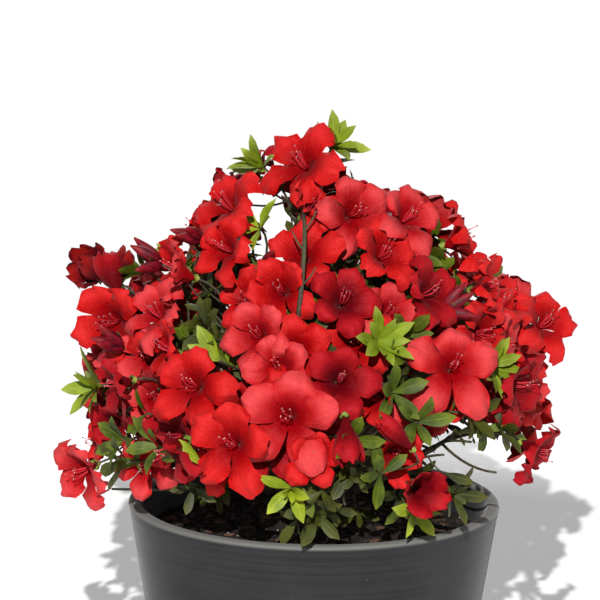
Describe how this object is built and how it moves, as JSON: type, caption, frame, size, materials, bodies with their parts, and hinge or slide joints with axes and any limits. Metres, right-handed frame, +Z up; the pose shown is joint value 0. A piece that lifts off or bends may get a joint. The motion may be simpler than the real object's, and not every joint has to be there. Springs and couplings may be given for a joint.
{
  "type": "potted azalea shrub",
  "caption": "Flowering evergreen azalea shrub, domed crown of red blooms and small leaves on a short trunk, in a round tapered dark pot.",
  "frame": {"origin": "middle of the pot's flat underside, on the surface that the pot stands on", "axes": "+Z up, -Y towards the side seen in the picture, +X to that view's right"},
  "size_m": [0.3507, 0.3119, 0.4414],
  "materials": {
    "pot": "matt slate grey fibre clay with faint brushed lines",
    "soil": "damp dark potting mix",
    "bark": "rough brown bark",
    "crown": "soft scarlet petals with green leaves"
  },
  "bodies": {
    "root": {"back_low_1_bough": "bark", "back_low_1_mass": "crown", "back_low_2_bough": "bark", "back_low_2_mass": "crown", "back_low_3_bough": "bark", "back_low_3_mass": "crown", "back_low_4_bough": "bark", "back_low_4_mass": "crown", "back_middle_1_bough": "bark", "back_middle_1_mass": "crown", "back_middle_2_bough": "bark", "back_middle_2_mass": "crown", "back_middle_3_bough": "bark", "back_middle_3_mass": "crown", "back_upper_1_bough": "bark", "back_upper_1_mass": "crown", "back_upper_2_bough": "bark", "back_upper_2_mass": "crown", "crest_1_bough": "bark", "crest_1_mass": "crown", "front_bough": "bark", "front_left_bough": "bark", "front_left_mass": "crown", "front_mass": "crown", "left_bough": "bark", "left_mass": "crown", "left_shoulder_bough": "bark", "left_shoulder_mass": "crown", "left_tip_bough": "bark", "left_tip_mass": "crown", "low_front_bough": "bark", "low_front_mass": "crown", "low_front_right_bough": "bark", "low_front_right_mass": "crown", "low_left_bough": "bark", "low_left_mass": "crown", "low_right_bough": "bark", "low_right_mass": "crown", "middle_bough": "bark", "middle_mass": "crown", "pot": "pot", "right_front_bough": "bark", "right_front_mass": "crown", "right_middle_bough": "bark", "right_middle_mass": "crown", "right_shoulder_bough": "bark", "right_shoulder_mass": "crown", "right_tip_bough": "bark", "right_tip_mass": "crown", "soil": "soil", "top_bough": "bark", "top_mass": "crown", "trunk": "bark", "upper_front_bough": "bark", "upper_front_mass": "crown", "upper_left_bough": "bark", "upper_left_mass": "crown", "upper_right_bough": "bark", "upper_right_mass": "crown"}
  },
  "joints": []
}
